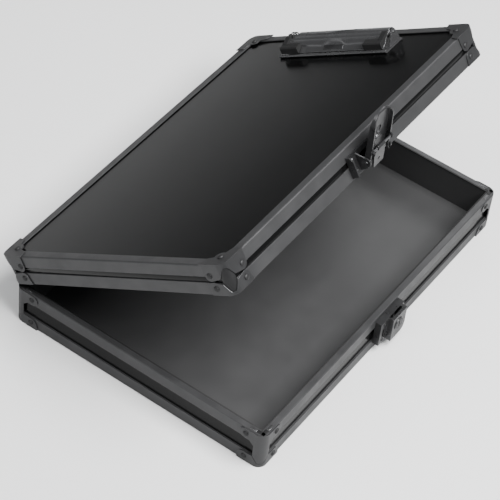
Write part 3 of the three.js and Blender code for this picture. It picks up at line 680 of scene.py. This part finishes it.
def jaw_sheet(bm):
    """Two layers of faces, one for each surface of the sheet, joined along their rim."""
    columns, rows = JAW_GRID
    layers = []
    for offset in (JAW_SHEET / 2, -JAW_SHEET / 2):
        grid = []
        for i in range(columns + 1):
            x = -JAW_HALF + 2 * JAW_HALF * i / columns
            line = []
            for j in range(rows + 1):
                y = JAW_FRONT[0] + (JAW_BACK[0] - JAW_FRONT[0]) * j / rows
                line.append(bm.verts.new((x, y, jaw_height(x, y) + offset)))
            grid.append(line)
        layers.append(grid)
    for grid in layers:
        for i in range(columns):
            for j in range(rows):
                bm.faces.new((grid[i][j], grid[i + 1][j], grid[i + 1][j + 1], grid[i][j + 1]))
    upper, lower = layers
    rim = [(i, 0) for i in range(columns)] + [(columns, j) for j in range(rows)]
    rim += [(i, rows) for i in range(columns, 0, -1)] + [(0, j) for j in range(rows, 0, -1)]
    for (a, b), (c, d) in zip(rim, rim[1:] + rim[:1]):
        bm.faces.new((upper[a][b], upper[c][d], lower[c][d], lower[a][b]))


def add_fine_jaw():
    """The pressed jaw plate with its crease, ribs, hemmed front edge and rolled rear edge."""
    bm = bmesh.new()
    jaw_sheet(bm)
    outer, inner = ROLL
    reach = JAW_HALF - ROLL_LEFT
    tube = ((outer, 0), (outer, reach), (inner, reach), (inner, 0), (outer, 0))
    spun(bm, tube, (ROLL_LEFT, *CLIP_PIVOT), (1, 0, 0), 40)
    bmesh.ops.remove_doubles(bm, verts=bm.verts, dist=1e-4)
    jaw = add_piece("clip_jaw_fine", bm, "clip_jaw", "clip", LID)
    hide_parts("clip_jaw")


def add_blank_plate():
    """A small plate without any marks, in front of the jaw's arch."""
    slope = math.atan2(JAW_BACK[1] - JAW_FRONT[1], JAW_BACK[0] - JAW_FRONT[0])
    at = (0, PLATE_Y, jaw_height(0, PLATE_Y))
    place = Matrix.Translation(at) @ Matrix.Rotation(slope, 4, "X")
    bm = bmesh.new()
    slab(bm, *PLATE, 0.2, place)
    add_piece("clip_blank_plate", bm, "clip_jaw", "hardware", LID)


def add_clip_loops():
    """The clip spring's left end: two open loops of wire and a leg down to the jaw's grip."""
    start_x, middle_y, middle_z = LOOPS_AT
    points = []
    for i in range(LOOP_STEPS + 1):
        angle = math.radians(LOOP_START) + LOOP_TURNS * 2 * math.pi * i / LOOP_STEPS
        x = start_x - LOOPS_WIDE * i / LOOP_STEPS
        y = middle_y + LOOP_RADIUS * math.cos(angle)
        z = middle_z + LOOP_RADIUS * math.sin(angle)
        points.append(Vector((x, y, z)))
    points += [Vector(point) for point in LOOP_LEG]
    bm = bmesh.new()
    wire(bm, points, LOOP_WIRE)
    add_piece("clip_spring_loops", bm, "clip_jaw", "grip", LID)


# ------------------------------------------------------------------ studio
def way_out(azimuth, elevation):
    """The direction from the clipboard to a camera or a light."""
    a, e = math.radians(azimuth), math.radians(elevation)
    return Vector((math.sin(a) * math.cos(e), -math.cos(a) * math.cos(e), math.sin(e)))


def add_camera():
    a, roll = math.radians(CAMERA_AZIMUTH), math.radians(CAMERA_ROLL)
    back = way_out(CAMERA_AZIMUTH, CAMERA_ELEVATION)
    right = Vector((math.cos(a), math.sin(a), 0))
    up = back.cross(right)
    turned_right = math.cos(roll) * right + math.sin(roll) * up
    turned_up = -math.sin(roll) * right + math.cos(roll) * up
    camera = bpy.data.objects.new("camera", bpy.data.cameras.new("camera"))
    camera.data.lens = CAMERA_LENS
    camera.data.sensor_width = 36
    camera.data.clip_start = 0.05
    camera.data.clip_end = 30
    place = Matrix((turned_right, turned_up, back)).transposed().to_4x4()
    place.translation = CAMERA_AIM + back * CAMERA_DISTANCE
    camera.matrix_world = place
    bpy.context.collection.objects.link(camera)
    bpy.context.scene.camera = camera


def add_light(name, azimuth, elevation, distance, size, power):
    """A soft box that faces the clipboard."""
    way = way_out(azimuth, elevation)
    data = bpy.data.lights.new(name, "AREA")
    data.shape = "RECTANGLE"
    data.size, data.size_y = size
    data.energy = power
    light = bpy.data.objects.new(name, data)
    light.location = LIGHT_AIM + way * distance
    light.rotation_mode = "QUATERNION"
    light.rotation_quaternion = way.to_track_quat("Z", "Y")
    bpy.context.collection.objects.link(light)


def add_floor():
    """A pale round floor. To everything but the camera it is greyer, so that its mirror image is too."""
    bm = bmesh.new()
    bmesh.ops.create_circle(bm, cap_ends=True, segments=96, radius=FLOOR_RADIUS)
    mesh = mesh_from(bm, "floor")
    look = Shader("floor_paint", grey(0.9), 0.6, 0.0, 0.2)
    seen = look.node("ShaderNodeLightPath").outputs["Is Camera Ray"]
    cloud = look.mixed(look.noise(3, 2.0), grey(0.9), grey(0.94))
    look.set("Base Color", look.mixed(seen, grey(FLOOR_AS_LIGHT), cloud))
    mesh.materials.append(look.material)
    floor = bpy.data.objects.new("floor", mesh)
    bpy.context.collection.objects.link(floor)


def add_world():
    """Pale to the eye, dimmer as a light, and nearly black where the lid's board mirrors it."""
    world = bpy.data.worlds.new("world")
    bpy.context.scene.world = world
    world.use_nodes = True
    tree = world.node_tree
    seen = tree.nodes["Background"]
    seen.inputs["Color"].default_value = (0.9, 0.9, 0.905, 1)
    seen.inputs["Strength"].default_value = 1.0
    way = tree.nodes.new("ShaderNodeTexCoord").outputs["Generated"]
    dot = tree.nodes.new("ShaderNodeVectorMath")
    dot.operation = "DOT_PRODUCT"
    dot.inputs[1].default_value = DARK_SIDE
    tree.links.new(way, dot.inputs[0])
    ramp = tree.nodes.new("ShaderNodeMapRange")
    ramp.inputs["From Min"].default_value = DARK_FADE[0]
    ramp.inputs["From Max"].default_value = DARK_FADE[1]
    ramp.inputs["To Min"].default_value = WORLD_LIGHT
    ramp.inputs["To Max"].default_value = 0.0
    tree.links.new(dot.outputs["Value"], ramp.inputs["Value"])
    lit = tree.nodes.new("ShaderNodeBackground")
    lit.inputs["Color"].default_value = (0.94, 0.97, 1.0, 1)
    tree.links.new(ramp.outputs["Result"], lit.inputs["Strength"])
    ray = tree.nodes.new("ShaderNodeLightPath")
    choose = tree.nodes.new("ShaderNodeMixShader")
    tree.links.new(ray.outputs["Is Camera Ray"], choose.inputs[0])
    tree.links.new(lit.outputs[0], choose.inputs[1])
    tree.links.new(seen.outputs[0], choose.inputs[2])
    tree.links.new(choose.outputs[0], tree.nodes["World Output"].inputs["Surface"])


# ------------------------------------------------------------------ the scene
dress_cad_nodes()
add_corner_rivets()
add_hinge_rivets()
add_channel_strips()
add_rim_seals()
add_corner_keys()
add_latch_details()
add_lock_details()
add_fine_jaw()
add_blank_plate()
add_clip_loops()
add_camera()
add_floor()
add_world()
for light in LIGHTS:
    add_light(*light)
